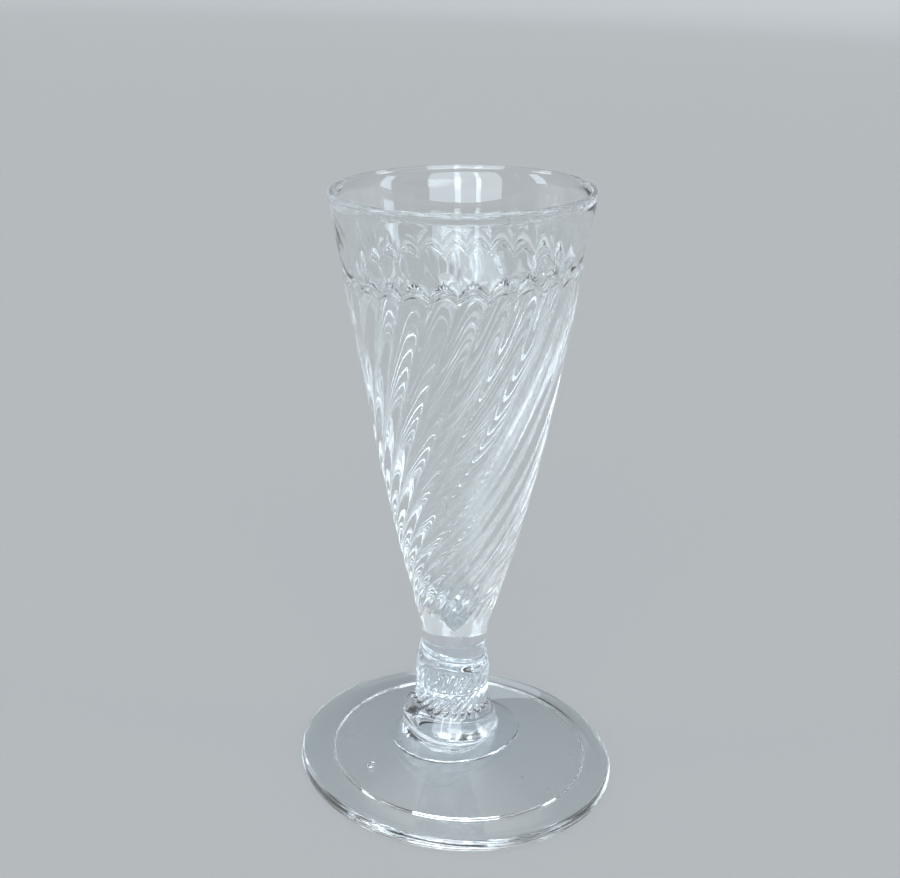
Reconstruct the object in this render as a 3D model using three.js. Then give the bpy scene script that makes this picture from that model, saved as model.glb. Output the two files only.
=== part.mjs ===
import * as THREE from 'three';

// A wrythen ale glass. The bowl is blown from one gather of glass and wrapped in a second gather that
// was ribbed in a mould and twisted. It stands on a two-tier ribbed knop, a boss and a folded foot.
// Millimetres, +Z up. The origin is the centre of the plane that the foot rests on.
// The pieces are fused hot, so each meets the next on a flat seam. On curved seams they stay apart
// by SEAM_GAP.

// Heights, each from the seam below it
const FOLD_EDGE_RADIUS = 1.85;
const FOOT_HEIGHT = 8.0;
const BOSS_HEIGHT = 9.3;
const LOWER_TIER_HEIGHT = 4.0;
const UPPER_TIER_HEIGHT = 7.2;
const NECK_HEIGHT = 4.0;
const BOWL_HEIGHT = 97.5;

// Foot
const FOOT_RADIUS = 34.8;
const FOLD_WIDTH = 7.3;
const FOLD_THICKNESS = 1.65;
const REST_RING_WIDTH = 2.0;
const FOLD_SEAM_WIDTH = 2.2;
const FOOT_CENTRE_THICKNESS = 2.7;
const PONTIL_RADIUS = 7.8;
const PONTIL_DEPTH = 1.7;
const PONTIL_SEAT_MARGIN = 1.4;
const SEAM_GAP = 0.3;

// Boss, knop and neck
const SKIRT_RADIUS = 14.1;
const SKIRT_EDGE = 0.3;
const BOSS_RADIUS = 10.8;
const BOSS_SHOULDER_RADIUS = 9.2;
const BOSS_CREASE_RADIUS = 9.7;
const BOSS_CREASE_HEIGHT = 0.7;
const KNOP_RADIUS = 8.1;
const TIER_GROOVE_RADIUS = 7.6;
const UPPER_SHOULDER_RADIUS = 7.75;
const NECK_CREASE_RADIUS = 7.0;
const NECK_RADIUS = 6.85;
const KNOP_RIB_DEPTH = 0.42;
const KNOP_TWIST_PER_MM = THREE.MathUtils.degToRad(3.5);

// Bowl
const RIM_RADIUS = 26.5;
const BOWL_BASE_RADIUS = 6.95;
const RIM_WALL = 1.6;
const WALL_GAIN = 3.0;
const WALL_TAPER = 1.2;
const CAVITY_FLOOR = 2.5;
const CAVITY_TIP_ROUNDING = 14;
const WAIST_FLARE = 4.5;

// Second gather
const LIP_HEIGHT = 81.3;
const LIP_COVER = 1.0;
const BASE_COVER = 2.7;
const RIB_COUNT = 26;
const RIB_DEPTH = 0.55;
const RIB_START_ANGLE = THREE.MathUtils.degToRad(-84);
const ARCH_HEIGHT = 1.6;
const ARCH_REACH = 12;
const LIP_SLANT = 1.4;
const LIP_SLANT_ANGLE = THREE.MathUtils.degToRad(-20);
const LIP_TWIST_PER_MM = THREE.MathUtils.degToRad(0.75);
const TWIST_GROWTH = THREE.MathUtils.degToRad(0.00057);
const PLAIN_BASE_HEIGHT = 3.5;
const RIB_FADE_LENGTH = 10;

// Made by hand: the stem stands a little off the foot's centre, the bowl leans as it rises, the foot
// and the boss's skirt are out of round, and the boss sits higher on its left side
const STEM_OFFSET = -1.3;
const BOWL_LEAN = THREE.MathUtils.degToRad(2.2);
const FOOT_OUT_OF_ROUND = 0.9;
const SKIRT_OUT_OF_ROUND = 1.3;
const BOSS_TILT = 1.2;
const CREASE_LIFT = 0.8;
const CREASE_LOW_ANGLE = THREE.MathUtils.degToRad(-60);

// Facets round each kind of piece
const PLAIN_FACETS = 40;
const FOOT_FACETS = 52;
const RIB_FACETS = 4;
const RIBBED_FACETS = RIB_COUNT * RIB_FACETS;

// Outlines in shares. Bowl: share of its height, share of the way from base radius to rim radius
const BOWL_LINE = [[0, 0], [0.087, 0.1024], [0.241, 0.3066], [0.467, 0.5522], [0.733, 0.7898], [1, 1]];
// Boss: share of its height at its widest and at its shoulder
const BOSS_WIDEST_SHARE = 0.36;
const BOSS_SHOULDER_SHARE = 0.78;
// Tiers of the knop: share of the tier's height at its widest, and at the upper tier's shoulder
const LOWER_TIER_WIDEST_SHARE = 0.4;
const UPPER_TIER_WIDEST_SHARE = 0.4;
const UPPER_SHOULDER_SHARE = 0.8;
const NECK_WAIST_SHARE = 0.5;
// Broken pontil: share of its radius, share of its depth
const PONTIL_SHARES = [[0, 0.8], [0.6, 1], [0.85, 0.7], [1, 0]];
// Ragged edge of the pontil: number of waves round it, height as a share of its radius, shift
const PONTIL_WAVE_SHARES = [[3, 0.06, 0], [5, 0.04, 1]];

// Heights of the seams above the table
const foldSeamZ = FOLD_EDGE_RADIUS;
const bossSeamZ = FOOT_HEIGHT;
const pontilSeamZ = FOOT_HEIGHT - FOOT_CENTRE_THICKNESS;
const lowerTierZ = bossSeamZ + BOSS_HEIGHT;
const upperTierZ = lowerTierZ + LOWER_TIER_HEIGHT;
const neckZ = upperTierZ + UPPER_TIER_HEIGHT;
const bowlZ = neckZ + NECK_HEIGHT;
const rimZ = bowlZ + BOWL_HEIGHT;
const lipZ = bowlZ + LIP_HEIGHT;
const topOfLipZ = lipZ + ARCH_HEIGHT / 2;
const creaseZ = bossSeamZ + BOSS_CREASE_HEIGHT;

const point = (radius, z) => new THREE.Vector2(radius, z);
const smooth = (value, from, to) => THREE.MathUtils.smoothstep(value, from, to);

function arc(centreRadius, centreZ, radius, fromDegrees, toDegrees, steps) {
  const points = [];
  for (let step = 0; step <= steps; step += 1) {
    const degrees = fromDegrees + (toDegrees - fromDegrees) * step / steps;
    const angle = THREE.MathUtils.degToRad(degrees);
    points.push(point(centreRadius + radius * Math.cos(angle), centreZ + radius * Math.sin(angle)));
  }
  return points;
}

function evenSteps(from, to, steps) {
  return Array.from({ length: steps + 1 }, (_, step) => from + (to - from) * step / steps);
}

// Turns an outline of (radius, height) points about +Z, then puts each point where place says
function turn(outline, facets, place) {
  const geometry = new THREE.LatheGeometry(outline, facets);
  geometry.rotateX(Math.PI / 2);
  const positions = geometry.getAttribute('position');
  for (let index = 0; index < positions.count; index += 1) {
    const x = positions.getX(index);
    const y = positions.getY(index);
    const placed = place(Math.hypot(x, y), Math.atan2(y, x), positions.getZ(index));
    positions.setXYZ(index, placed.x, placed.y, placed.z);
  }
  return geometry;
}

const closed = (outline) => [...outline, outline[0].clone()];

// The hand-made shifts of each part of the glass
function placeOnFoot(radius, angle, z) {
  const footShare = radius / FOOT_RADIUS;
  const nearSkirt = smooth(radius, 0, SKIRT_RADIUS) * (1 - smooth(radius, SKIRT_RADIUS, FOOT_RADIUS));
  const outOfRound = SKIRT_OUT_OF_ROUND * nearSkirt - FOOT_OUT_OF_ROUND * footShare ** 2;
  const shifted = radius + outOfRound * Math.sin(2 * angle);
  return new THREE.Vector3(shifted * Math.cos(angle), shifted * Math.sin(angle), z);
}

function placeOnStem(radius, angle, z) {
  return new THREE.Vector3(STEM_OFFSET + radius * Math.cos(angle), radius * Math.sin(angle), z);
}

// The boss's skirt lies on the foot, and its bulge stands on the stem's own line
function placeOnBoss(radius, angle, z) {
  const isSkirt = z < bossSeamZ + (SKIRT_EDGE + BOSS_CREASE_HEIGHT) / 2;
  if (isSkirt) {
    return placeOnFoot(radius, angle, z);
  }
  const share = (z - creaseZ) / (lowerTierZ - creaseZ);
  const tilt = -BOSS_TILT * Math.cos(angle) * Math.sin(Math.PI * share);
  const lift = CREASE_LIFT * (1 - Math.cos(angle - CREASE_LOW_ANGLE)) * (1 - share) ** 2;
  return placeOnStem(radius, angle, z + tilt + lift);
}

// The lip of the second gather, and the waist behind it, lie higher on one side of the glass
function slantNearLip(angle, z) {
  const below = smooth(z, lipZ - ARCH_REACH, lipZ);
  const above = 1 - smooth(z, topOfLipZ + WAIST_FLARE / 2, (topOfLipZ + rimZ) / 2 + WAIST_FLARE);
  return LIP_SLANT * Math.cos(angle - LIP_SLANT_ANGLE) * below * above;
}

function placeOnBowl(radius, angle, straightZ) {
  const z = straightZ + slantNearLip(angle, straightZ);
  const rise = z - bowlZ;
  const lean = BOWL_LEAN * rise / BOWL_HEIGHT;
  const across = radius * Math.cos(angle);
  const drift = -lean * rise / 2;
  return new THREE.Vector3(
    STEM_OFFSET + drift + across * Math.cos(lean),
    radius * Math.sin(angle),
    z + across * Math.sin(lean),
  );
}

// One rib from valley (0) over its round crest (1) to the next valley, repeated round the glass
const ribShape = (angle) => Math.abs(Math.cos(RIB_COUNT * (angle - RIB_START_ANGLE) / 2));

const bowlCurve = new THREE.SplineCurve(BOWL_LINE.map(([rise, spread]) => point(
  BOWL_BASE_RADIUS + spread * (RIM_RADIUS - BOWL_BASE_RADIUS),
  bowlZ + rise * BOWL_HEIGHT,
)));
const bowlCurvePoints = bowlCurve.getPoints(200);

function outerRadius(z) {
  const above = bowlCurvePoints.findIndex((sample) => sample.y >= z);
  if (above < 1) {
    return above === 0 ? BOWL_BASE_RADIUS : RIM_RADIUS;
  }
  const low = bowlCurvePoints[above - 1];
  const high = bowlCurvePoints[above];
  return THREE.MathUtils.mapLinear(z, low.y, high.y, low.x, high.x);
}

// Depth from the outermost line to the first gather: the second gather fills it below the lip, and
// above the lip it is the pinched waist that flares out into the plain band
function coverDepth(z) {
  if (z > topOfLipZ) {
    return LIP_COVER * (1 - smooth(z, topOfLipZ, topOfLipZ + WAIST_FLARE));
  }
  return THREE.MathUtils.mapLinear(z, bowlZ, topOfLipZ, BASE_COVER, LIP_COVER);
}

// The wall thickens from the rim down, and the cavity ends in a round tip
function cavityRadius(z) {
  const rise = (z - bowlZ) / BOWL_HEIGHT;
  const wall = RIM_WALL + WALL_GAIN * (1 - rise) ** WALL_TAPER;
  const toTip = Math.min(1, (z - bowlZ - CAVITY_FLOOR) / CAVITY_TIP_ROUNDING);
  return (outerRadius(z) - wall) * Math.sqrt(1 - (1 - toTip) ** 2);
}

function bowlGeometry() {
  const beadRadius = RIM_WALL / 2;
  const beadZ = rimZ - beadRadius;
  const floorZ = bowlZ + CAVITY_FLOOR;
  const underCover = evenSteps(bowlZ, topOfLipZ, 7);
  const band = evenSteps(topOfLipZ, beadZ, 5).slice(1);
  const outside = [...underCover, ...band].map((z) => point(outerRadius(z) - coverDepth(z), z));
  const rim = arc(RIM_RADIUS - beadRadius, beadZ, beadRadius, 30, 150, 4);
  // Steps crowd towards the round tip
  const cavity = evenSteps(1, 0, 11).slice(0, -1)
    .map((share) => floorZ + share ** 2 * (beadZ - floorZ))
    .map((z) => point(cavityRadius(z), z));
  const outline = [point(0, bowlZ), ...outside, ...rim, ...cavity, point(0, floorZ)];
  return turn(outline, PLAIN_FACETS, placeOnBowl);
}

// How far a rib has turned at a height, counted down from the lip
function twistAt(z) {
  const depth = lipZ - z;
  return -(LIP_TWIST_PER_MM * depth + TWIST_GROWTH * depth ** 3 / 3);
}

function overlayGeometry() {
  const innerRadius = (z) => outerRadius(z) - coverDepth(z) + SEAM_GAP;
  // Steps crowd towards the base, where the ribs turn fastest
  const crowding = 1.35;
  const outerHeights = evenSteps(0, 1, 22).map((share) => bowlZ + LIP_HEIGHT * share ** crowding);
  const innerHeights = outerHeights.filter((_, index) => index % 2 === 0).reverse();
  const lipRadius = (LIP_COVER - SEAM_GAP) / 2;
  const outside = outerHeights.slice(0, -1).map((z) => point(outerRadius(z), z));
  const lip = arc(outerRadius(lipZ) - lipRadius, lipZ - lipRadius, lipRadius, 0, 180, 3);
  const inside = innerHeights.slice(1).map((z) => point(innerRadius(z), z));
  const place = (radius, angle, z) => {
    const crest = ribShape(angle);
    const outwardShare = THREE.MathUtils.mapLinear(radius, innerRadius(z), outerRadius(z), 0, 1);
    const fade = smooth(z, bowlZ + PLAIN_BASE_HEIGHT, bowlZ + PLAIN_BASE_HEIGHT + RIB_FADE_LENGTH);
    const depth = RIB_DEPTH * outwardShare * fade * radius / outerRadius(lipZ);
    const arch = ARCH_HEIGHT * (crest - 0.5) * smooth(z, lipZ - ARCH_REACH, lipZ - lipRadius);
    return placeOnBowl(radius - depth * (1 - crest), angle + twistAt(z), z + arch);
  };
  return turn(closed([...outside, ...lip, ...inside]), RIBBED_FACETS, place);
}

// A solid of the stem between two flat seams. side runs from the lower seam up to the upper one.
function stemOutline(side, steps) {
  const curve = new THREE.SplineCurve(side);
  return [point(0, side[0].y), ...curve.getPoints(steps), point(0, side.at(-1).y)];
}

function neckGeometry() {
  const side = [
    point(NECK_CREASE_RADIUS, neckZ),
    point(NECK_RADIUS, neckZ + NECK_WAIST_SHARE * NECK_HEIGHT),
    point(BOWL_BASE_RADIUS, bowlZ),
  ];
  return turn(stemOutline(side, 4), PLAIN_FACETS, placeOnStem);
}

function tierGeometry(side, steps) {
  const low = side[0].y;
  const high = side.at(-1).y;
  const place = (radius, angle, z) => {
    const inside = Math.sin(Math.PI * (z - low) / (high - low));
    const depth = KNOP_RIB_DEPTH * inside * (1 - ribShape(angle)) * radius / KNOP_RADIUS;
    return placeOnStem(radius - depth, angle + KNOP_TWIST_PER_MM * (z - low), z);
  };
  return turn(stemOutline(side, steps), RIBBED_FACETS, place);
}

function upperTierGeometry() {
  return tierGeometry([
    point(TIER_GROOVE_RADIUS, upperTierZ),
    point(KNOP_RADIUS, upperTierZ + UPPER_TIER_WIDEST_SHARE * UPPER_TIER_HEIGHT),
    point(UPPER_SHOULDER_RADIUS, upperTierZ + UPPER_SHOULDER_SHARE * UPPER_TIER_HEIGHT),
    point(NECK_CREASE_RADIUS, neckZ),
  ], 6);
}

function lowerTierGeometry() {
  return tierGeometry([
    point(KNOP_RADIUS, lowerTierZ),
    point(KNOP_RADIUS, lowerTierZ + LOWER_TIER_WIDEST_SHARE * LOWER_TIER_HEIGHT),
    point(TIER_GROOVE_RADIUS, upperTierZ),
  ], 4);
}

function bossGeometry() {
  const bulge = new THREE.SplineCurve([
    point(BOSS_CREASE_RADIUS, creaseZ),
    point(BOSS_RADIUS, bossSeamZ + BOSS_WIDEST_SHARE * BOSS_HEIGHT),
    point(BOSS_SHOULDER_RADIUS, bossSeamZ + BOSS_SHOULDER_SHARE * BOSS_HEIGHT),
    point(KNOP_RADIUS, lowerTierZ),
  ]);
  const outline = [
    point(0, bossSeamZ),
    point(SKIRT_RADIUS, bossSeamZ),
    point(SKIRT_RADIUS, bossSeamZ + SKIRT_EDGE),
    ...bulge.getPoints(9),
    point(0, lowerTierZ),
  ];
  return turn(outline, PLAIN_FACETS, placeOnBoss);
}

const foldSeamInner = FOOT_RADIUS - FOLD_SEAM_WIDTH;
const footEdgeCentre = FOOT_RADIUS - FOLD_EDGE_RADIUS;
const pontilSeatRadius = PONTIL_RADIUS + PONTIL_SEAT_MARGIN;

// The foot's lower cone, from the pontil's flat seat out to the fold
function footUnderside(radius) {
  const foldTopZ = foldSeamZ + SEAM_GAP;
  return THREE.MathUtils.mapLinear(radius, pontilSeatRadius, foldSeamInner, pontilSeamZ, foldTopZ);
}

function footPlateGeometry() {
  const outline = [
    point(0, pontilSeamZ),
    point(pontilSeatRadius, pontilSeamZ),
    point(foldSeamInner, footUnderside(foldSeamInner)),
    point(foldSeamInner, foldSeamZ),
    ...arc(footEdgeCentre, foldSeamZ, FOLD_EDGE_RADIUS, 0, 90, 5),
    point(SKIRT_RADIUS, bossSeamZ),
    point(0, bossSeamZ),
  ];
  return turn(outline, FOOT_FACETS, placeOnFoot);
}

function footFoldGeometry() {
  const lipRadius = FOLD_THICKNESS / 2;
  const lipCentre = FOOT_RADIUS - FOLD_WIDTH + lipRadius;
  const lipCentreZ = footUnderside(lipCentre) - SEAM_GAP - lipRadius;
  const outline = [
    point(footEdgeCentre - REST_RING_WIDTH, 0),
    ...arc(footEdgeCentre, foldSeamZ, FOLD_EDGE_RADIUS, -90, 0, 5),
    point(foldSeamInner, foldSeamZ),
    ...arc(lipCentre, lipCentreZ, lipRadius, 90, 270, 5),
  ];
  return turn(closed(outline), FOOT_FACETS, placeOnFoot);
}

function pontilGeometry() {
  const broken = PONTIL_SHARES.map(([across, down]) => point(
    across * PONTIL_RADIUS,
    pontilSeamZ - down * PONTIL_DEPTH,
  ));
  const place = (radius, angle, z) => {
    const ragged = PONTIL_WAVE_SHARES.reduce(
      (sum, [count, height, shift]) => sum + height * Math.sin(count * angle + shift),
      1,
    );
    return placeOnFoot(radius * ragged, angle, z);
  };
  return turn([...broken, point(0, pontilSeamZ)], PLAIN_FACETS, place);
}

function piece(name, geometry, colour) {
  const material = new THREE.MeshStandardMaterial({
    color: colour,
    roughness: 0.04,
    metalness: 0,
    transparent: true,
    opacity: 0.35,
  });
  const mesh = new THREE.Mesh(geometry, material);
  mesh.name = name;
  return mesh;
}

const THIN_GLASS = 0xe4eef0;
const THICK_GLASS = 0xc3d6e2;

const aleGlass = new THREE.Group();
aleGlass.add(
  piece('bowl', bowlGeometry(), THIN_GLASS),
  piece('wrythen_overlay', overlayGeometry(), THIN_GLASS),
  piece('neck', neckGeometry(), THICK_GLASS),
  piece('knop_upper_tier', upperTierGeometry(), THICK_GLASS),
  piece('knop_lower_tier', lowerTierGeometry(), THICK_GLASS),
  piece('foot_boss', bossGeometry(), THICK_GLASS),
  piece('foot_plate', footPlateGeometry(), THIN_GLASS),
  piece('foot_fold', footFoldGeometry(), THIN_GLASS),
  piece('pontil_scar', pontilGeometry(), THICK_GLASS),
);

export default aleGlass;
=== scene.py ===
import math

import bpy
import numpy as np
from mathutils import Matrix, Vector


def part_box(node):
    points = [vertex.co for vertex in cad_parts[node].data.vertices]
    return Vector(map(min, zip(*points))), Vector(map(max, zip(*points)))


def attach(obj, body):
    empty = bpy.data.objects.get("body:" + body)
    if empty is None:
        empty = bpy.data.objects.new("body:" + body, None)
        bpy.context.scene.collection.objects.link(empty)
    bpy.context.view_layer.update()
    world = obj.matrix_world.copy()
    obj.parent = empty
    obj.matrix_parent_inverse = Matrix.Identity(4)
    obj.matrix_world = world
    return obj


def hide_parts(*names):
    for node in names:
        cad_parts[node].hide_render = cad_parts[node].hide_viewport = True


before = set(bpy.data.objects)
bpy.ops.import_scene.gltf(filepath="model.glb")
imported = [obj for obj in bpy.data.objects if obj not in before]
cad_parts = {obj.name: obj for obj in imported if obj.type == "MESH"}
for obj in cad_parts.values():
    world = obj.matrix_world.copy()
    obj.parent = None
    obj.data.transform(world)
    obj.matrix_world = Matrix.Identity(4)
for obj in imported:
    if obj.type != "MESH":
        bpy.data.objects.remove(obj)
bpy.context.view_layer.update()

# A wrythen ale glass, clear and nearly colourless. Its gathers of glass were fused hot, so each piece
# here is a closed solid whose hidden faces, the ones fused to a neighbour, let every ray straight
# through. Sizes are in millimetres, and MM turns them into the scene's metres.
MM = 0.001


def top_of(node):
    """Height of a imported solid's top, in millimetres."""
    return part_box(node)[1].z / MM


# Heights of the seams above the table
FOLD_SEAM_Z = 1.85
PONTIL_SEAM_Z = top_of("pontil_scar")
BOSS_SEAM_Z = top_of("foot_plate")
LOWER_TIER_Z = top_of("foot_boss")
UPPER_TIER_Z = top_of("knop_lower_tier")
NECK_Z = top_of("knop_upper_tier")
BOWL_Z = top_of("neck")

# Foot. PONTIL_LINE is the scar's depth by its radius, both as shares, and PONTIL_LOBES holds how many
# lobes its outline has, their size as a share of the radius, and their turn.
FOOT_RADIUS = 34.8
FOLD_LIP_RADIUS = 28.3
FOLD_LIP_ROUNDING = 0.85
REST_RING_WIDTH = 2.0
FOOT_WAVE = 0.04
PONTIL_RADIUS = 7.8
PONTIL_DEPTH = 1.7
PONTIL_SEAT_MARGIN = 1.4
PONTIL_LINE = [(0, 0.8), (0.3, 0.85), (0.6, 1), (0.85, 0.7), (0.97, 0.3), (1, 0)]
PONTIL_LOBES = ((3, 0.06, 0), (5, 0.04, 1))
PONTIL_LUMPS = 0.25
PONTIL_SPLINTERS = 0.12

# Boss and its skirt
SKIRT_RADIUS = 14.1
SKIRT_EDGE = 0.5
SKIRT_EDGE_BACK_SHARE = 0.08
SKIRT_EDGE_ROUNDING = 0.42
SKIRT_HOLLOW_POWER = 2.2
SKIRT_FRONT = math.radians(-65)
SKIRT_FRONT_FADE = (-0.08, 0.3)
SKIRT_END = math.radians(-152)
SKIRT_END_BEAD = 0.15
SKIRT_END_BEAD_WIDTH = 0.035
BOSS_RADIUS = 10.8
BOSS_SHOULDER_RADIUS = 9.2
BOSS_CREASE_RADIUS = 9.7
BOSS_CREASE_Z = BOSS_SEAM_Z + 0.7
BOSS_BULGE_SHARE = 0.36
BOSS_SHOULDER_SHARE = 0.76
BOSS_FILLET_SHARE = 0.94
BOSS_FILLET = 0.1

# Knop: each tier's outline as shares of its height with the radius there. The lower tier's ribs start
# a little way down in the boss.
KNOP_RADIUS = 8.1
TIER_GROOVE_RADIUS = 7.6
UPPER_SHOULDER_RADIUS = 7.75
NECK_CREASE_RADIUS = 7.0
LOWER_TIER_LINE = [
    (0, KNOP_RADIUS),
    (0.4, KNOP_RADIUS),
    (0.93, TIER_GROOVE_RADIUS + 0.32),
    (1, TIER_GROOVE_RADIUS),
]
UPPER_TIER_LINE = [
    (0, TIER_GROOVE_RADIUS),
    (0.04, TIER_GROOVE_RADIUS + 0.3),
    (0.4, KNOP_RADIUS),
    (0.78, UPPER_SHOULDER_RADIUS),
    (0.96, UPPER_SHOULDER_RADIUS - 0.35),
    (1, NECK_CREASE_RADIUS),
]
KNOP_RIB_DEPTH = 0.32
KNOP_RIB_START = 0.6
BOSS_RIBS_Z = LOWER_TIER_Z - 1.8
UPPER_RIBS_TOP = 0.7
UPPER_TWIST_PER_MM = math.radians(2)
LOWER_TWIST_PER_MM = math.radians(7)

# Neck, with the uneven ledge that overhangs its crease in front. Towards the back the ledge dies away
# within NECK_LEDGE_END, a share of the radius.
NECK_RADIUS = 6.8
NECK_CREASE_TILT = 0.8
NECK_LEDGE = 0.55
NECK_LEDGE_HEIGHT = 1.1
NECK_LEDGE_CHANGE = 0.6
NECK_LEDGE_END = 0.7
NECK_ROUNDING = 0.3
NECK_RIPPLE = 0.05

# Bowl. BOWL_LINE is how far it has widened at each height, both as shares.
BOWL_HEIGHT = 97.5
RIM_Z = BOWL_Z + BOWL_HEIGHT
RIM_RADIUS = 26.5
BOWL_BASE_RADIUS = 6.95
BOWL_LINE = [(0, 0), (0.087, 0.1024), (0.241, 0.3066), (0.467, 0.5522), (0.733, 0.7898), (1, 1)]
BOWL_RIPPLE = 0.05
RIPPLE_START_SHARE = 0.3
RIM_WALL = 1.6
BEAD_Z = RIM_Z - RIM_WALL / 2
WALL_GAIN = 3.0
WALL_TAPER = 1.2
CAVITY_FLOOR_Z = BOWL_Z + 2.5
CAVITY_TIP_ROUNDING = 14.0
CAVITY_TIP_SHARPNESS = 0.8

# Second gather, from its plain base up to the arches of its lip
LIP_Z = BOWL_Z + 81.3
LIP_START_Z = LIP_Z - 1.0
CREVICE_Z = LIP_Z + 0.4
TOP_OF_LIP_Z = LIP_Z + 0.8
LIP_RISE = 0.95
LIP_ROUNDING = 0.55
LIP_COVER = 1.0
BASE_COVER = 2.7
WAIST_FADE = 1.9
PLAIN_BASE_Z = BOWL_Z + 5.0
RIB_FADE_LENGTH = 7.5
RIB_COUNT = 26
RIB_DEPTH = 0.6
RIB_SOFTNESS = 0.012
RIB_START = math.radians(-84)
ARCH_HEIGHT = 1.8
ARCH_REACH = 12.0
ARCH_FADE_SHARE = 0.4
LIP_TWIST_PER_MM = math.radians(0.75)
TWIST_GROWTH = math.radians(0.00057)

# Made by hand: the stem stands a little off the foot's centre, the bowl leans as it rises, the lip
# runs aslant, the foot, its fold and the boss's skirt are out of round, the boss sits higher on its
# left side, and the ribs differ a little in place and depth
STEM_OFFSET = -1.3
BOWL_LEAN = math.radians(2.2)
LIP_SLANT = 1.4
LIP_SLANT_ANGLE = math.radians(-20)
SLANT_FADE_Z = (TOP_OF_LIP_Z + 2, RIM_Z - 4)
FOOT_OUT_OF_ROUND = 0.9
SKIRT_OUT_OF_ROUND = 1.3
FOLD_OFFSET = 0.9
BOSS_TILT = 1.2
CREASE_LIFT = 0.8
CREASE_LOW_ANGLE = math.radians(-60)
RIB_WANDER = math.radians(0.9)
RIB_DEPTH_CHANGE = 0.2
STRIA_DEPTH = 0.005

# Seeds, the bubbles caught in the glass: centre, half their length, width and height, and their slope
FOOT_SEEDS = [
    ((-18.0, -12.1, 4.75), (1.1, 1.05, 0.85), 0),
    ((-24.6, -0.7, 4.4), (0.2, 0.16, 0.16), 0),
    ((-23.0, -0.9, 4.6), (0.24, 0.18, 0.18), 0),
    ((-19.5, -1.6, 5.2), (0.16, 0.14, 0.14), 0),
    ((14.6, -14.3, 4.5), (0.2, 0.18, 0.16), 0),
    ((20.3, -16.5, 3.3), (0.16, 0.14, 0.14), 0),
    ((21.8, -16.1, 3.2), (0.16, 0.14, 0.14), 0),
    ((25.6, -3.1, 3.2), (0.2, 0.16, 0.16), 0),
]
NECK_SEEDS = [((-6.2, -3.3, 31.3), (0.26, 0.24, 0.26), 0)]
BOWL_BASE_SEEDS = [((-1.0, -6.0, 35.1), (0.8, 0.15, 0.15), 28)]

# Glass: its colours where it is clearest and where it is most tinted, and what light from above keeps
# on its way through to the floor
GLASS_IOR = 1.54
THIN_GLASS = ((0.975, 0.985, 0.985), (0.955, 0.975, 0.98), (0.93, 0.95, 0.96))
THICK_GLASS = ((0.93, 0.965, 0.985), (0.89, 0.94, 0.975), (0.88, 0.92, 0.95))
BROKEN_GLASS = ((0.93, 0.96, 0.98), (0.88, 0.92, 0.95), (0.8, 0.85, 0.9))
FLOOR_COLOUR = (0.48, 0.475, 0.47)

# Brightness of the sky by its height, from 0 at the horizon to 1 straight overhead
SKY = [(0, 0.08), (0.2, 0.03), (0.75, 0.03), (0.88, 0.45), (1, 0.45)]
SKY_COLOUR = (1, 0.99, 0.98)
SKY_STRENGTH = 2.5

# Far windows: their left, right, lower and upper edges as slopes from the glass, and their brightness
WINDOW_LIGHT = (0.8, 0.91, 1)
FRONT_WINDOWS = [
    ((-0.76, 0.66, 0.12, 1.1), 4.5),
    ((-0.29, -0.21, 0.05, 1.0), 6.5),
    ((0.05, 0.15, 0.05, 1.0), 6.0),
]
SIDE_WINDOW = (-0.3, -0.07, 0.05, 0.8)
SIDE_BRIGHTNESS = 5.5
WINDOW_EDGE = 0.012

# Faces round each piece, and the two kinds of face
FACES_PER_RIB = 24
COLUMNS = RIB_COUNT * FACES_PER_RIB
GLASS_FACE = 0
SEAM_FACE = 1

# Rows of points up the larger surfaces, and how strongly they crowd towards one end
GATHER_SEAM_ROWS = 14
PLAIN_BAND_ROWS = 50
PLAIN_BAND_CROWDING = 1.5
CAVITY_ROWS = 74
CAVITY_CROWDING = 1.6
RIBBED_SIDE_ROWS = 115
RIBBED_SIDE_CROWDING = 1.15
NECK_ROWS = 44
NECK_CROWDING = 1.4
SKIRT_ROWS = 24
UNDERSIDE_ROWS = 40
FOOT_TOP_ROWS = 50


def smooth(value, low, high):
    """Rises smoothly from 0 at low to 1 at high."""
    share = np.clip((value - low) / (high - low), 0, 1)
    return share * share * (3 - 2 * share)


def spline(points, steps):
    """A smooth curve through points, as rows of steps points for each stretch between two of them."""
    knots = np.array(points, float)
    knots = np.vstack([knots[:1], knots, knots[-1:]])
    rows = []
    for before, start, end, after in zip(knots, knots[1:], knots[2:], knots[3:]):
        t = np.linspace(0, 1, steps, endpoint=False)[:, None]
        leave = (end - before) / 2
        arrive = (after - start) / 2
        bend = 2 * start - 2 * end + leave + arrive
        rows.append(bend * t**3 + (3 * end - 3 * start - 2 * leave - arrive) * t**2 + leave * t + start)
    return np.vstack([*rows, knots[-1:]])


def arc(centre_radius, centre_z, radius, from_degrees, to_degrees, steps):
    """Part of a circle, as rows of a radius from the glass's axis and a height."""
    angles = np.radians(np.linspace(from_degrees, to_degrees, steps + 1))
    return np.stack([centre_radius + radius * np.cos(angles), centre_z + radius * np.sin(angles)], 1)


def quarter_turn(steps):
    return np.radians(np.linspace(0, 90, steps))


def uneven(angle, z, amount, turns, length, seed):
    """The slight unevenness of hand-made glass: crossing waves, the same on every run."""
    draw = np.random.default_rng(seed)
    total = 0
    for count in turns:
        phase, shift = draw.uniform(0, 2 * math.pi, 2)
        total = total + np.cos(count * angle + phase) * np.cos(2 * math.pi * z / length + shift)
    return amount * total / len(turns)


def columns(count):
    """The angles of equal steps once round the axis."""
    return np.arange(count) * 2 * math.pi / count


THETA = columns(COLUMNS)


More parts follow.
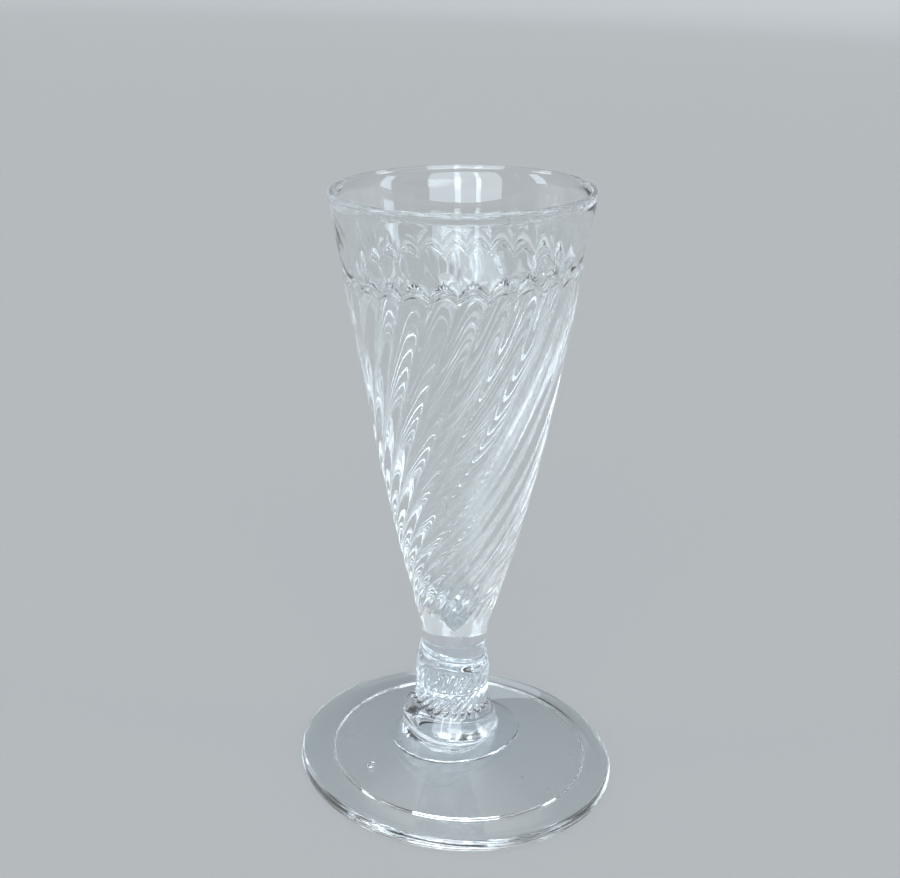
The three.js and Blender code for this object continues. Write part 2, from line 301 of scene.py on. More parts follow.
# Where the points of each part of the glass go, with its hand-made shifts
def on_foot(radius, angle, z):
    near_skirt = smooth(radius, 0, SKIRT_RADIUS) * (1 - smooth(radius, SKIRT_RADIUS, FOOT_RADIUS))
    out_of_round = SKIRT_OUT_OF_ROUND * near_skirt - FOOT_OUT_OF_ROUND * (radius / FOOT_RADIUS) ** 2
    shifted = radius + out_of_round * np.sin(2 * angle)
    return np.stack(np.broadcast_arrays(shifted * np.cos(angle), shifted * np.sin(angle), z), -1)


def on_stem(radius, angle, z):
    across = radius * np.cos(angle)
    near_crease = smooth(z, UPPER_TIER_Z, NECK_Z) * (1 - smooth(z, NECK_Z, BOWL_Z))
    tilted = z - NECK_CREASE_TILT * near_crease * across / NECK_CREASE_RADIUS
    return np.stack(np.broadcast_arrays(STEM_OFFSET + across, radius * np.sin(angle), tilted), -1)


def on_boss(radius, angle, z, on_skirt):
    """Between the skirt, which lies on the foot, and the bulge, which stands on the stem's line."""
    return on_skirt * on_foot(radius, angle, z) + (1 - on_skirt) * on_stem(radius, angle, z)


def on_bowl(radius, angle, straight_z, slant=LIP_SLANT):
    below = smooth(straight_z, LIP_Z - ARCH_REACH, LIP_Z)
    above = 1 - smooth(straight_z, *SLANT_FADE_Z)
    z = straight_z + slant * np.cos(angle - LIP_SLANT_ANGLE) * below * above
    rise = z - BOWL_Z
    lean = BOWL_LEAN * rise / BOWL_HEIGHT
    across = radius * np.cos(angle)
    x = STEM_OFFSET - lean * rise / 2 + across * np.cos(lean)
    return np.stack(np.broadcast_arrays(x, radius * np.sin(angle), z + across * np.sin(lean)), -1)


bowl_curve = spline(
    [
        (BOWL_BASE_RADIUS + spread * (RIM_RADIUS - BOWL_BASE_RADIUS), BOWL_Z + rise * BOWL_HEIGHT)
        for rise, spread in BOWL_LINE
    ],
    steps=800,
)


def outer_radius(z):
    return np.interp(z, bowl_curve[:, 1], bowl_curve[:, 0])


def cover_depth(z):
    """Depth of the second gather, and above its crevice the depth of the pinched waist."""
    under = BASE_COVER + (LIP_COVER - BASE_COVER) * (z - BOWL_Z) / (CREVICE_Z - BOWL_Z)
    waist = LIP_COVER * math.exp(-max(z - CREVICE_Z, 0) / WAIST_FADE)
    return waist if z > CREVICE_Z else under


def cavity_radius(z):
    rise = (z - BOWL_Z) / BOWL_HEIGHT
    wall = RIM_WALL + WALL_GAIN * np.clip(1 - rise, 0, 1) ** WALL_TAPER
    to_tip = np.clip((z - CAVITY_FLOOR_Z) / CAVITY_TIP_ROUNDING, 0, 1)
    return (outer_radius(z) - wall) * (1 - (1 - to_tip) ** 2) ** CAVITY_TIP_SHARPNESS


def rib_crest(angle):
    """1 on a rib's crest, 0 in the valley beside it. The ribs are not quite evenly spaced."""
    wander = uneven(angle, 0, RIB_WANDER, turns=(4, 7, 11), length=1, seed=31)
    sharp = np.cos(RIB_COUNT * (angle + wander - RIB_START) / 2) ** 2
    highest = math.sqrt(1 + RIB_SOFTNESS)
    lowest = math.sqrt(RIB_SOFTNESS)
    return (np.sqrt(sharp + RIB_SOFTNESS) - lowest) / (highest - lowest)


CREST = rib_crest(THETA)


def twist_at(z):
    """How far the ribs have turned at a height. Their twist tightens towards the base."""
    depth = LIP_Z - z
    return -(LIP_TWIST_PER_MM * depth + TWIST_GROWTH * depth**3 / 3)


def arch_shift(z):
    """How far the lip's arches lift or lower each point at a height."""
    return ARCH_HEIGHT * (CREST - 0.5) * smooth(z, LIP_Z - ARCH_REACH, LIP_Z)


LIP_ARCH = arch_shift(LIP_Z)


def build(name, rows, bands, closed=False, seeds=()):
    """Makes a closed mesh from loops of points round the axis, listed so that its faces look out.

    A row of one point is a pole. bands holds the face kind between each row and the next, and for a
    closed section also the kind from the last row to the first.
    """
    starts = np.cumsum([0] + [len(row) for row in rows])
    pairs = [(low, low + 1) for low in range(len(rows) - 1)]
    if closed:
        pairs.append((len(rows) - 1, 0))
    faces = []
    kinds = []
    for (low, high), kind in zip(pairs, bands, strict=True):
        made = faces_between(rows, starts, low, high)
        faces += made.tolist()
        kinds += [kind] * len(made)
    points = np.vstack(rows)
    for seed in seeds:
        seed_points, seed_faces = bubble(*seed)
        faces += (seed_faces + len(points)).tolist()
        kinds += [GLASS_FACE] * len(seed_faces)
        points = np.vstack([points, seed_points])
    mesh = bpy.data.meshes.new(name)
    mesh.from_pydata(points * MM, [], faces, shade_flat=False)
    mesh.polygons.foreach_set("material_index", np.array(kinds, np.int32))
    sharpen(mesh, rows, starts, bands, closed)
    mesh.update()
    mesh.validate()
    piece = bpy.data.objects.new(f"{name}_glass", mesh)
    bpy.context.scene.collection.objects.link(piece)
    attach(piece, "root")
    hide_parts(name)
    return piece


def faces_between(rows, starts, low, high):
    """The faces between two rows, which are triangles where one of the rows is a pole."""
    count = max(len(rows[low]), len(rows[high]))
    here = np.arange(count)
    following = (here + 1) % count
    if len(rows[low]) == 1:
        return np.stack([np.full(count, starts[low]), starts[high] + following, starts[high] + here], 1)
    if len(rows[high]) == 1:
        return np.stack([starts[low] + here, starts[low] + following, np.full(count, starts[high])], 1)
    low_side = [starts[low] + here, starts[low] + following]
    return np.stack([*low_side, starts[high] + following, starts[high] + here], 1)


def sharpen(mesh, rows, starts, bands, closed):
    """Keeps the shading of outer faces apart from that of the seam faces beside them."""
    row_of = np.full(len(mesh.vertices), -1)
    for index, row in enumerate(rows):
        row_of[starts[index] : starts[index] + len(row)] = index
    edged = [index for index in range(1, len(rows) - 1) if bands[index - 1] != bands[index]]
    if closed:
        edged += [index for index in (0, len(rows) - 1) if bands[index - 1] != bands[index]]
    ends = np.empty(len(mesh.edges) * 2, np.int32)
    mesh.edges.foreach_get("vertices", ends)
    first, second = row_of[ends].reshape(-1, 2).T
    sharp = (first == second) & np.isin(first, edged)
    mesh.attributes.new("sharp_edge", "BOOLEAN", "EDGE").data.foreach_set("value", sharp)


def bubble(centre, half_sizes, slope_degrees):
    """A closed bubble of air inside the glass, so its faces look inwards."""
    around = 20
    down = 12
    theta = columns(around)
    points = [(0, 0, 1)]
    for step in range(1, down):
        polar = math.pi * step / down
        across = math.sin(polar)
        points += [(across * math.cos(a), across * math.sin(a), math.cos(polar)) for a in theta]
    points.append((0, 0, -1))
    shape = np.array(points) * half_sizes
    turn = np.array(Matrix.Rotation(math.radians(slope_degrees), 3, "Y"))
    last = len(points) - 1
    faces = []
    for here in range(around):
        beside = (here + 1) % around
        faces.append((0, 1 + beside, 1 + here))
        faces.append((last, last - around + here, last - around + beside))
        for ring in range(down - 2):
            low = 1 + ring * around
            faces.append((low + here, low + beside, low + around + beside))
            faces.append((low + here, low + around + beside, low + around + here))
    return shape @ turn.T + np.array(centre), np.array(faces)


def bowl_ripple(z):
    return uneven(THETA, z, BOWL_RIPPLE, turns=(2, 3, 5), length=40, seed=11)


def gather_seam(share):
    """The seam between the two gathers, a share of the way up to the crevice above the lip."""
    z = BOWL_Z + share * (CREVICE_Z - BOWL_Z)
    shifted = z + arch_shift(z)
    return on_bowl(outer_radius(shifted) - cover_depth(z), THETA + twist_at(min(z, LIP_Z)), shifted)


def plain_band(share):
    """The bowl's own outside, a share of the way from the crevice up to the rim's bead."""
    z = CREVICE_Z + share * (BEAD_Z - CREVICE_Z)
    shifted = z + LIP_ARCH * (1 - smooth(share, 0, ARCH_FADE_SHARE))
    ripple = bowl_ripple(shifted) * smooth(share, 0, RIPPLE_START_SHARE)
    return on_bowl(outer_radius(shifted) - cover_depth(z) + ripple, THETA, shifted)


def cavity(share):
    """The bowl's inside, a share of the way from its lowest point up to the rim's bead."""
    z = CAVITY_FLOOR_Z + share * (BEAD_Z - CAVITY_FLOOR_Z)
    return on_bowl(cavity_radius(z) + bowl_ripple(z) * share, THETA, z, slant=0)


def bowl():
    """Its rows stand closer together above the crevice and round the cavity's tip."""
    seam = [gather_seam(share) for share in np.linspace(0, 1, GATHER_SEAM_ROWS)]
    up_the_band = np.linspace(0, 1, PLAIN_BAND_ROWS)[1:] ** PLAIN_BAND_CROWDING
    outside = [plain_band(share) for share in up_the_band]
    half_wall = RIM_WALL / 2
    bead = arc(RIM_RADIUS - half_wall, BEAD_Z, half_wall, from_degrees=6, to_degrees=174, steps=18)
    rim = [on_bowl(radius + bowl_ripple(BEAD_Z), THETA, z) for radius, z in bead]
    down_the_cavity = np.linspace(1, 0, CAVITY_ROWS)[:-1] ** CAVITY_CROWDING
    inside = [cavity(share) for share in down_the_cavity]
    lowest = on_bowl(0, 0, CAVITY_FLOOR_Z)[None]
    rows = [on_bowl(0, 0, BOWL_Z)[None], *seam, *outside, *rim, *inside, lowest]
    bands = [SEAM_FACE] * len(seam) + [GLASS_FACE] * (len(rows) - 1 - len(seam))
    return build("bowl", rows, bands)


def rib_depth():
    """Depth of the valleys between the ribs, a little different from place to place."""
    return RIB_DEPTH * (1 + uneven(THETA, 0, RIB_DEPTH_CHANGE, turns=(3, 5, 8), length=1, seed=32))


def ribbed_side(share):
    """The ribs' outside, a share of the way from the gather's base up to where the lip rounds over.

    The ribs are shallower where the bowl is narrower.
    """
    z = BOWL_Z + share * (LIP_START_Z - BOWL_Z)
    fade = smooth(z, PLAIN_BASE_Z, PLAIN_BASE_Z + RIB_FADE_LENGTH)
    depth = rib_depth() * fade * (outer_radius(z) / outer_radius(LIP_Z)) ** 0.5
    below_lip = 1 - smooth(z, LIP_Z - ARCH_REACH, LIP_START_Z)
    striae = uneven(THETA, z, STRIA_DEPTH, turns=(61, 79, 97), length=90, seed=33)
    radius = outer_radius(z) - depth * (1 - CREST) + striae * fade * below_lip
    return on_bowl(radius, THETA + twist_at(z), z + arch_shift(z))


def lip():
    """The lip rounds over from the ribs' outside to the crevice against the bowl's wall."""
    side = outer_radius(LIP_Z) - rib_depth() * (1 - CREST)
    step = side - outer_radius(CREVICE_Z + LIP_ARCH) + cover_depth(CREVICE_Z)
    start_z = LIP_START_Z + LIP_ARCH
    top_z = start_z + LIP_RISE
    rows = []
    for angle in quarter_turn(steps=12):
        inward = step * LIP_ROUNDING * (1 - math.cos(angle))
        rows.append(on_bowl(side - inward, THETA, start_z + LIP_RISE * math.sin(angle)))
    for angle in quarter_turn(steps=8)[1:]:
        inward = step * (LIP_ROUNDING + (1 - LIP_ROUNDING) * math.sin(angle))
        z = top_z + (CREVICE_Z + LIP_ARCH - top_z) * (1 - math.cos(angle))
        rows.append(on_bowl(side - inward, THETA, z))
    return rows


def wrythen_overlay():
    up_the_side = np.linspace(0, 1, RIBBED_SIDE_ROWS) ** RIBBED_SIDE_CROWDING
    side = [ribbed_side(share) for share in up_the_side]
    over = lip()
    seam = [gather_seam(share) for share in np.linspace(1, 0, GATHER_SEAM_ROWS)[1:]]
    outside_bands = len(side) + len(over) - 1
    bands = [GLASS_FACE] * outside_bands + [SEAM_FACE] * (len(seam) + 1)
    return build("wrythen_overlay", [*side, *over, *seam], bands, closed=True, seeds=BOWL_BASE_SEEDS)


def stem_piece(name, low, high, side, place, seeds=()):
    """A solid of the stem between two flat seams. side is its outline, from the low seam to the high."""
    outside = [place(radius, z) for radius, z in side]
    rows = [on_stem(0, 0, low)[None], *outside, on_stem(0, 0, high)[None]]
    bands = [SEAM_FACE] + [GLASS_FACE] * (len(outside) - 1) + [SEAM_FACE]
    return build(name, rows, bands, seeds=seeds)


def neck():
    """The neck runs on smoothly into the bowl above it."""
    height = BOWL_Z - NECK_Z
    widening = BOWL_BASE_RADIUS - NECK_RADIUS
    step = 0.1
    run = (outer_radius(BOWL_Z + step) - BOWL_BASE_RADIUS) / step * height
    side = []
    for share in np.linspace(0, 1, NECK_ROWS) ** NECK_CROWDING:
        radius = NECK_RADIUS + (3 * widening - run) * share**2 + (run - 2 * widening) * share**3
        side.append((radius, NECK_Z + height * share))
    ledge_height = NECK_LEDGE_HEIGHT - NECK_LEDGE_CHANGE * np.cos(THETA)
    ledge_depth = NECK_LEDGE * smooth(-np.sin(THETA), -NECK_LEDGE_END, 0)
    undercut_depth = NECK_RADIUS + ledge_depth - NECK_CREASE_RADIUS

    def place(radius, z):
        rise = z - NECK_Z
        ledge = ledge_depth * (1 - smooth(rise, NECK_ROUNDING, NECK_ROUNDING + ledge_height))
        undercut = undercut_depth * (1 - np.clip(rise / NECK_ROUNDING, 0, 1)) ** 2
        ripple = uneven(THETA, z, NECK_RIPPLE, turns=(4, 7, 11), length=6, seed=41)
        ripple = ripple * math.sin(math.pi * rise / height)
        return on_stem(radius + ledge - undercut + ripple, THETA, z)

    return stem_piece("neck", NECK_Z, BOWL_Z, side, place, NECK_SEEDS)


def tier(name, low, high, line, ribs_z, ribs_top, twist_per_mm):
    """A tier of the knop, whose ribs start at ribs_z and fade out by ribs_top, a share of its height."""
    height = high - low
    fade_start = low + height * ribs_top / 2
    fade_end = low + height * ribs_top

    def place(radius, z):
        ribbed = smooth(z, ribs_z, low + KNOP_RIB_START) * (1 - smooth(z, fade_start, fade_end))
        depth = KNOP_RIB_DEPTH * ribbed * (1 - CREST)
        return on_stem(radius - depth, THETA + twist_per_mm * (z - low), z)

    side = spline([(radius, low + height * share) for share, radius in line], steps=12)
    return stem_piece(name, low, high, side, place)


def knop_upper_tier():
    ribs = (UPPER_TIER_Z, UPPER_RIBS_TOP, UPPER_TWIST_PER_MM)
    return tier("knop_upper_tier", UPPER_TIER_Z, NECK_Z, UPPER_TIER_LINE, *ribs)


def knop_lower_tier():
    ribs = (BOSS_RIBS_Z, 1, LOWER_TWIST_PER_MM)
    return tier("knop_lower_tier", LOWER_TIER_Z, UPPER_TIER_Z, LOWER_TIER_LINE, *ribs)


def skirt_edge():
    """Height of the skirt's edge round the boss: it shows in front and ends in a small bead."""
    front = smooth(np.cos(THETA - SKIRT_FRONT), *SKIRT_FRONT_FADE)
    from_end = (THETA - SKIRT_END + math.pi) % (2 * math.pi) - math.pi
    bead = SKIRT_END_BEAD * np.exp(-((from_end / SKIRT_END_BEAD_WIDTH) ** 2))
    return SKIRT_EDGE * (SKIRT_EDGE_BACK_SHARE + (1 - SKIRT_EDGE_BACK_SHARE) * front) + bead


def skirt(lift):
    """The skirt from its edge on the foot up to the crease under the boss."""
    edge = skirt_edge()
    flat_z = BOSS_SEAM_Z + edge
    inner = SKIRT_RADIUS - SKIRT_EDGE_ROUNDING
    rows = []
    for angle in quarter_turn(steps=7):
        radius = SKIRT_RADIUS - SKIRT_EDGE_ROUNDING * (1 - math.cos(angle))
        rows.append(on_foot(radius, THETA, BOSS_SEAM_Z + edge * math.sin(angle)))
    for share in np.linspace(0, 1, SKIRT_ROWS)[1:-1]:
        radius = inner + (BOSS_CREASE_RADIUS - inner) * share
        z = flat_z + (BOSS_CREASE_Z + lift - flat_z) * share**SKIRT_HOLLOW_POWER
        rows.append(on_boss(radius, THETA, z, 1 - smooth(share, 0, 1)))
    return rows


def boss_bulge(lift):
    """The boss from its crease up to the knop, whose ribs run down into it. It is higher on its left."""
    height = LOWER_TIER_Z - BOSS_SEAM_Z
    outline = [
        (BOSS_CREASE_RADIUS, BOSS_CREASE_Z),
        (BOSS_RADIUS, BOSS_SEAM_Z + height * BOSS_BULGE_SHARE),
        (BOSS_SHOULDER_RADIUS, BOSS_SEAM_Z + height * BOSS_SHOULDER_SHARE),
        (KNOP_RADIUS + BOSS_FILLET, BOSS_SEAM_Z + height * BOSS_FILLET_SHARE),
        (KNOP_RADIUS, LOWER_TIER_Z),
    ]
    rows = []
    for radius, z in spline(outline, steps=22):
        share = (z - BOSS_CREASE_Z) / (LOWER_TIER_Z - BOSS_CREASE_Z)
        turned = THETA + LOWER_TWIST_PER_MM * (z - LOWER_TIER_Z) * smooth(share, 0, 1)
        tilt = -BOSS_TILT * math.sin(math.pi * share) * np.cos(turned)
        ribbed = smooth(z, BOSS_RIBS_Z, LOWER_TIER_Z + KNOP_RIB_START)
        depth = KNOP_RIB_DEPTH * ribbed * (1 - CREST)
        rows.append(on_stem(radius - depth, turned, z + tilt + lift * (1 - share) ** 2))
    return rows


def foot_boss():
    lift = CREASE_LIFT * (1 - np.cos(THETA - CREASE_LOW_ANGLE))
    outside = [*skirt(lift), *boss_bulge(lift)]
    rows = [on_foot(0, 0, BOSS_SEAM_Z)[None], *outside, on_stem(0, 0, LOWER_TIER_Z)[None]]
    bands = [SEAM_FACE] + [GLASS_FACE] * (len(outside) - 1) + [SEAM_FACE]
    return build("foot_boss", rows, bands)


def foot_top(radius):
    edge = FOOT_RADIUS - FOLD_SEAM_Z
    share = (radius - SKIRT_RADIUS) / (edge - SKIRT_RADIUS)
    return BOSS_SEAM_Z + share * (2 * FOLD_SEAM_Z - BOSS_SEAM_Z)


def underside(radius):
    seat = PONTIL_RADIUS + PONTIL_SEAT_MARGIN
    share = (radius - seat) / (FOOT_RADIUS - seat)
    return PONTIL_SEAM_Z + share * (FOLD_SEAM_Z - PONTIL_SEAM_Z)


def ragged():
    """The scar's broken outline, with three broad lobes and five small ones."""
    outline = 1
    for count, size, shift in PONTIL_LOBES:
        outline = outline + size * np.sin(count * THETA + shift)
    return PONTIL_RADIUS * outline


def fold_shift(radius):
    """The fold reaches further in on the left than on the right."""
    reach = smooth(radius, PONTIL_RADIUS + PONTIL_SEAT_MARGIN, FOLD_LIP_RADIUS - FOLD_LIP_ROUNDING)
    back = smooth(radius, FOLD_LIP_RADIUS, FOOT_RADIUS - FOLD_SEAM_Z - REST_RING_WIDTH)
    return FOLD_OFFSET * np.cos(THETA) * reach * (1 - back)


def foot_plate():
    seat = PONTIL_RADIUS + PONTIL_SEAT_MARGIN
    crevice = FOLD_LIP_RADIUS - FOLD_LIP_ROUNDING
    edge = FOOT_RADIUS - FOLD_SEAM_Z
    under = [
        on_foot(radius + fold_shift(radius), THETA, underside(radius))
        for radius in np.linspace(seat, crevice, UNDERSIDE_ROWS)
    ]
    rim = arc(edge, FOLD_SEAM_Z, FOLD_SEAM_Z, from_degrees=0, to_degrees=90, steps=16)
    rounded = [on_foot(radius, THETA, z) for radius, z in rim]
    over = []
    for share in np.linspace(0, 1, FOOT_TOP_ROWS)[1:]:
        radius = edge + share * (SKIRT_RADIUS - edge)
        wave = uneven(THETA, radius, FOOT_WAVE, turns=(2, 3, 4), length=23, seed=5)
        over.append(on_foot(radius, THETA, foot_top(radius) + wave * math.sin(math.pi * share)))
    seat_rows = [on_foot(0, 0, PONTIL_SEAM_Z)[None], on_foot(ragged(), THETA, PONTIL_SEAM_Z)]
    rows = [*seat_rows, *under, *rounded, *over, on_foot(0, 0, BOSS_SEAM_Z)[None]]
    bands = [SEAM_FACE] + [GLASS_FACE] * len(under) + [SEAM_FACE]
    bands += [GLASS_FACE] * (len(rounded) + len(over) - 1) + [SEAM_FACE]
    return build("foot_plate", rows, bands, seeds=FOOT_SEEDS)


def foot_fold():
    edge = FOOT_RADIUS - FOLD_SEAM_Z
    lip_z = underside(FOLD_LIP_RADIUS) - FOLD_LIP_ROUNDING
    crevice = FOLD_LIP_RADIUS - FOLD_LIP_ROUNDING
    section = [
        (crevice, underside(crevice)),
        *arc(FOLD_LIP_RADIUS, lip_z, FOLD_LIP_ROUNDING, from_degrees=172, to_degrees=262, steps=14),
        (edge - REST_RING_WIDTH, 0),
        *arc(edge, FOLD_SEAM_Z, FOLD_SEAM_Z, from_degrees=-90, to_degrees=0, steps=16),
    ]
    rows = [on_foot(radius + fold_shift(radius), THETA, z) for radius, z in section]
    bands = [GLASS_FACE] * (len(rows) - 1) + [SEAM_FACE]
    return build("foot_fold", rows, bands, closed=True)


def pontil_scar():
    """The rough break where the rod that held the foot was snapped off."""
    rows = [on_foot(0, 0, PONTIL_SEAM_Z - PONTIL_LINE[0][1] * PONTIL_DEPTH)[None]]
    for share, depth in spline(PONTIL_LINE, steps=8)[1:]:
        radius = share * ragged()
        rough = uneven(THETA, radius, PONTIL_LUMPS, turns=(3, 7, 11, 17), length=5, seed=8)
        rough = rough + uneven(THETA, radius, PONTIL_SPLINTERS, turns=(13, 19, 29), length=2.3, seed=9)
        z = PONTIL_SEAM_Z - np.maximum(depth * (PONTIL_DEPTH + rough), 0)
        rows.append(on_foot(radius, THETA, z))
    rows.append(on_foot(0, 0, PONTIL_SEAM_Z)[None])
    bands = [GLASS_FACE] * (len(rows) - 2) + [SEAM_FACE]
    return build("pontil_scar", rows, bands)


def node(tree, kind, **inputs):
    """A new shader node with some of its inputs set, each named with _ in place of a space."""
    made = tree.nodes.new(kind)
    for name, value in inputs.items():
        made.inputs[name.replace("_", " ")].default_value = value
    return made


def empty_material(name):
    material = bpy.data.materials.new(name)
    material.use_nodes = True
    material.node_tree.nodes.clear()
    return material


def streak_noise(tree):
    """Broad soft streaks, drawn out along the height as the glass was."""
    place = node(tree, "ShaderNodeTexCoord")
    drawn_out = node(tree, "ShaderNodeMapping", Scale=(1, 1, 0.25))
    streaks = node(tree, "ShaderNodeTexNoise", Scale=110, Detail=3, Roughness=0.55)
    tree.links.new(place.outputs["Object"], drawn_out.inputs["Vector"])
    tree.links.new(drawn_out.outputs["Vector"], streaks.inputs["Vector"])
    return streaks.outputs["Fac"]


def smear_roughness(tree, low, high):
    """Patches where handling has left the surface a little less bright."""
    place = node(tree, "ShaderNodeTexCoord")
    smears = node(tree, "ShaderNodeTexNoise", Scale=260, Detail=5, Roughness=0.65)
    rough = node(tree, "ShaderNodeMapRange", From_Min=0.45, From_Max=0.8, To_Min=low, To_Max=high)
    tree.links.new(place.outputs["Object"], smears.inputs["Vector"])
    tree.links.new(smears.outputs["Fac"], rough.inputs["Value"])
    return rough.outputs["Result"]


def lit_through(tree, shader, light_tint):
    """Light on its way to or from the floor passes straight through the glass, tinted."""
    through = node(tree, "ShaderNodeBsdfTransparent", Color=(*light_tint, 1))
    rays = node(tree, "ShaderNodeLightPath")
    straight = node(tree, "ShaderNodeMath")
    straight.operation = "MAXIMUM"
    mix = node(tree, "ShaderNodeMixShader")
    tree.links.new(rays.outputs["Is Shadow Ray"], straight.inputs[0])
    tree.links.new(rays.outputs["Is Diffuse Ray"], straight.inputs[1])
    tree.links.new(straight.outputs["Value"], mix.inputs["Fac"])
    tree.links.new(shader.outputs["BSDF"], mix.inputs[1])
    tree.links.new(through.outputs["BSDF"], mix.inputs[2])
    output = node(tree, "ShaderNodeOutputMaterial")
    tree.links.new(mix.outputs["Shader"], output.inputs["Surface"])


def glass(name, colours, rough_low, rough_high, bump_height):
    """Glass with faint streaks of tint, smears and an uneven surface."""
    clear, tinted, light_tint = colours
    material = empty_material(name)
    tree = material.node_tree
    streaks = streak_noise(tree)
    tint = tree.nodes.new("ShaderNodeMix")
    tint.data_type = "RGBA"
    tint.inputs["A"].default_value = (*clear, 1)
    tint.inputs["B"].default_value = (*tinted, 1)
    bump = node(tree, "ShaderNodeBump", Strength=1.0, Distance=bump_height * MM)
    shader = node(tree, "ShaderNodeBsdfPrincipled", IOR=GLASS_IOR, Transmission_Weight=1.0)
    tree.links.new(streaks, tint.inputs["Factor"])
    tree.links.new(streaks, bump.inputs["Height"])
    tree.links.new(tint.outputs["Result"], shader.inputs["Base Color"])
    tree.links.new(smear_roughness(tree, rough_low, rough_high), shader.inputs["Roughness"])
    tree.links.new(bump.outputs["Normal"], shader.inputs["Normal"])
    lit_through(tree, shader, light_tint)
    return material


def fused_seam():
    """No surface at all for light, because the glass runs on through it."""
    material = empty_material("fused_seam")
    tree = material.node_tree
    clear = node(tree, "ShaderNodeBsdfTransparent", Color=(1, 1, 1, 1))
    output = node(tree, "ShaderNodeOutputMaterial")
    tree.links.new(clear.outputs["BSDF"], output.inputs["Surface"])
    return material


def floor_finish():
    material = bpy.data.materials.new("floor")
    material.use_nodes = True
    shader = material.node_tree.nodes["Principled BSDF"]
    shader.inputs["Base Color"].default_value = (*FLOOR_COLOUR, 1)
    shader.inputs["Roughness"].default_value = 0.9
    shader.inputs["Specular IOR Level"].default_value = 0.1
    return material


def floor():
    """A pale round floor, in metres, that curves up into a low wall, so that no edge of it shows."""
    flat_radius = 2.2
    curve_radius = 0.9
    curve_height = 0.5
    sink = 0.00012
    curve_degrees = 75
    curve_rows = 16
    around = 96
    profile = [(flat_radius * share, 0.0) for share in (0.05, 0.2, 0.5, 1)]
    for angle in np.radians(np.linspace(0, curve_degrees, curve_rows))[1:]:
        rise = curve_height * (1 - math.cos(angle))
        profile.append((flat_radius + curve_radius * math.sin(angle), rise))
    theta = columns(around)
    rows = [np.array([[0, 0, -sink]])]
    for radius, z in profile:
        level = np.full(around, z - sink)
        rows.append(np.stack([radius * np.cos(theta), radius * np.sin(theta), level], 1))
    starts = np.cumsum([0] + [len(row) for row in rows])
    faces = []
    for low in range(len(rows) - 1):
        faces += faces_between(rows, starts, low, low + 1)[:, ::-1].tolist()
    mesh = bpy.data.meshes.new("floor")
    mesh.from_pydata(np.vstack(rows), [], faces, shade_flat=False)
    mesh.materials.append(floor_finish())
    made = bpy.data.objects.new("floor", mesh)
    bpy.context.scene.collection.objects.link(made)


def combined(tree, operation, first, second):
    """The result of one step of arithmetic on two values, each of them a socket or a plain number."""
    made = node(tree, "ShaderNodeMath")
    made.operation = operation
    for socket, value in zip(made.inputs, (first, second)):
        if isinstance(value, bpy.types.NodeSocket):
            tree.links.new(value, socket)
        else:
            socket.default_value = value
    return made.outputs["Value"]


def between(tree, value, low, high):
    """1 where value lies between low and high and 0 elsewhere, with soft edges."""
    soft = WINDOW_EDGE
    rise = node(tree, "ShaderNodeMapRange", From_Min=low - soft, From_Max=low + soft)
    fall = node(tree, "ShaderNodeMapRange", From_Min=high + soft, From_Max=high - soft)
    tree.links.new(value, rise.inputs["Value"])
    tree.links.new(value, fall.inputs["Value"])
    return combined(tree, "MULTIPLY", rise.outputs["Result"], fall.outputs["Result"])


def window(tree, across, towards, up, edges, brightness):
    """A far window, seen in the sky where it lies towards one side of the glass."""
    left, right, bottom, top = edges
    beside = between(tree, combined(tree, "DIVIDE", across, towards), left, right)
    above = between(tree, combined(tree, "DIVIDE", up, towards), bottom, top)
    shape = combined(tree, "MULTIPLY", beside, above)
    ahead = combined(tree, "GREATER_THAN", towards, 0.0)
    return combined(tree, "MULTIPLY", combined(tree, "MULTIPLY", shape, ahead), brightness)


def overhead_light(tree, up):
    ramp = node(tree, "ShaderNodeValToRGB")
    while len(ramp.color_ramp.elements) < len(SKY):
        ramp.color_ramp.elements.new(0.5)
    for element, (height, brightness) in zip(ramp.color_ramp.elements, SKY):
        element.position = height
        element.color = (*(brightness * part for part in SKY_COLOUR), 1)
    background = node(tree, "ShaderNodeBackground", Strength=SKY_STRENGTH)
    tree.links.new(up, ramp.inputs["Fac"])
    tree.links.new(ramp.outputs["Color"], background.inputs["Color"])
    return background


def window_light(tree, way):
    east, north, up = (way.outputs[axis] for axis in "XYZ")
    south = combined(tree, "MULTIPLY", north, -1.0)
    west = combined(tree, "MULTIPLY", east, -1.0)
    lights = [window(tree, east, south, up, *front) for front in FRONT_WINDOWS]
    lights += [window(tree, north, side, up, SIDE_WINDOW, SIDE_BRIGHTNESS) for side in (east, west)]
    total = lights[0]
    for light in lights[1:]:
        total = combined(tree, "ADD", total, light)
    background = node(tree, "ShaderNodeBackground", Color=(*WINDOW_LIGHT, 1))
    tree.links.new(total, background.inputs["Strength"])
    return background


def studio():
    """Soft light from overhead, a broad window in front with two brighter panes, and one each side."""
    world = bpy.data.worlds.new("studio")
    bpy.context.scene.world = world
    world.use_nodes = True
    tree = world.node_tree
    tree.nodes.clear()
    place = node(tree, "ShaderNodeTexCoord")
    way = node(tree, "ShaderNodeSeparateXYZ")
    both = node(tree, "ShaderNodeAddShader")
    output = node(tree, "ShaderNodeOutputWorld")
    tree.links.new(place.outputs["Generated"], way.inputs["Vector"])
    tree.links.new(overhead_light(tree, way.outputs["Z"]).outputs["Background"], both.inputs[0])
    tree.links.new(window_light(tree, way).outputs["Background"], both.inputs[1])
    tree.links.new(both.outputs["Shader"], output.inputs["Surface"])


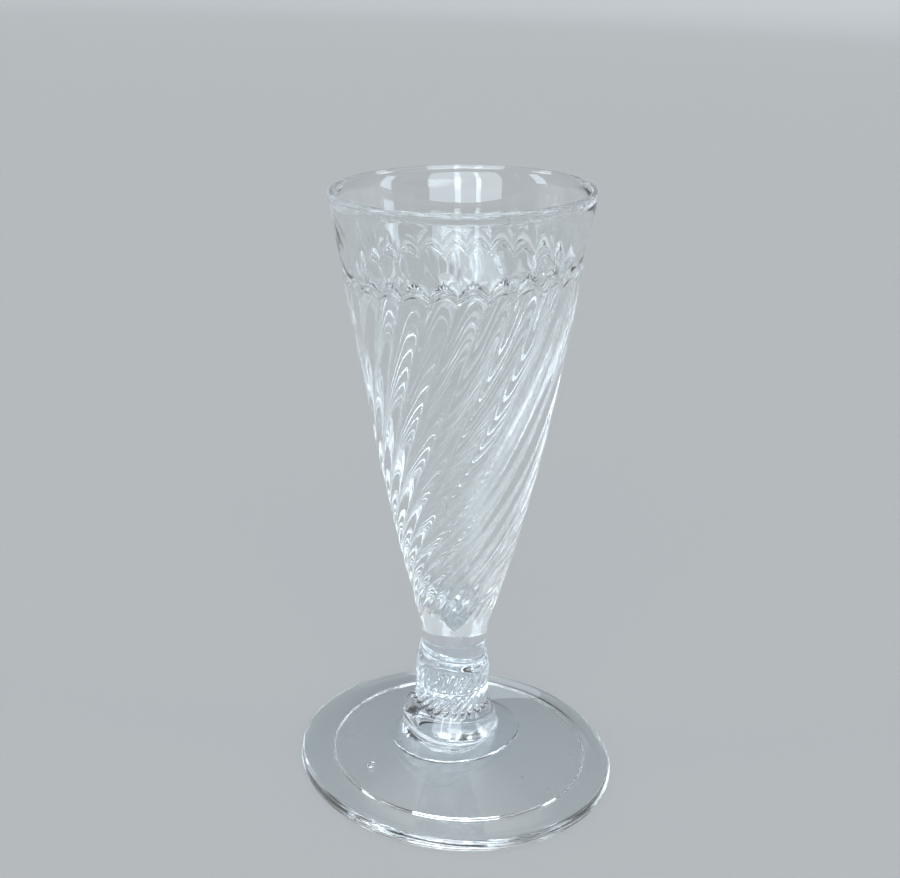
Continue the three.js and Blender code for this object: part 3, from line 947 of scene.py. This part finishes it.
def camera():
    """The photograph's own viewpoint: 181 mm above the table and 275 mm in front of the glass."""
    place = Vector((-0.00138, -0.2752, 0.18088))
    pitch = math.radians(20.60)
    yaw = math.radians(-0.508)
    roll = math.radians(2.2)
    ahead = Vector((math.sin(yaw) * math.cos(pitch), math.cos(yaw) * math.cos(pitch), -math.sin(pitch)))
    level = Vector((math.cos(yaw), -math.sin(yaw), 0))
    upright = level.cross(ahead)
    right = math.cos(roll) * level + math.sin(roll) * upright
    up = -math.sin(roll) * level + math.cos(roll) * upright
    data = bpy.data.cameras.new("camera")
    data.sensor_fit = "HORIZONTAL"
    data.sensor_width = 36
    data.lens = 56.52
    data.clip_start = 0.01
    data.clip_end = 20
    made = bpy.data.objects.new("camera", data)
    bpy.context.scene.collection.objects.link(made)
    turn = Matrix((right, up, -ahead)).transposed()
    made.matrix_world = Matrix.Translation(place) @ turn.to_4x4()
    bpy.context.scene.camera = made


def light_paths():
    """Enough bounces for rays to find their way out of thick glass."""
    cycles = bpy.context.scene.cycles
    cycles.max_bounces = 64
    cycles.transmission_bounces = 64
    cycles.glossy_bounces = 64
    cycles.diffuse_bounces = 3
    cycles.transparent_max_bounces = 64
    cycles.caustics_refractive = False
    cycles.caustics_reflective = False


thin = glass("thin_glass", THIN_GLASS, rough_low=0.0, rough_high=0.02, bump_height=0.004)
thick = glass("thick_glass", THICK_GLASS, rough_low=0.0, rough_high=0.02, bump_height=0.004)
broken = glass("broken_glass", BROKEN_GLASS, rough_low=0.12, rough_high=0.4, bump_height=0.08)
seam = fused_seam()

pieces = [
    (bowl, thin, "thin_glass"),
    (wrythen_overlay, thin, "thin_glass"),
    (neck, thick, "thick_glass"),
    (knop_upper_tier, thick, "thick_glass"),
    (knop_lower_tier, thick, "thick_glass"),
    (foot_boss, thick, "thick_glass"),
    (foot_plate, thin, "thin_glass"),
    (foot_fold, thin, "thin_glass"),
    (pontil_scar, broken, "broken_glass"),
]
for make, finish, slot in pieces:
    piece = make()
    piece.data.materials.append(finish)
    piece.data.materials.append(seam)

floor()
studio()
camera()
light_paths()
bpy.context.scene.view_settings.view_transform = "Standard"
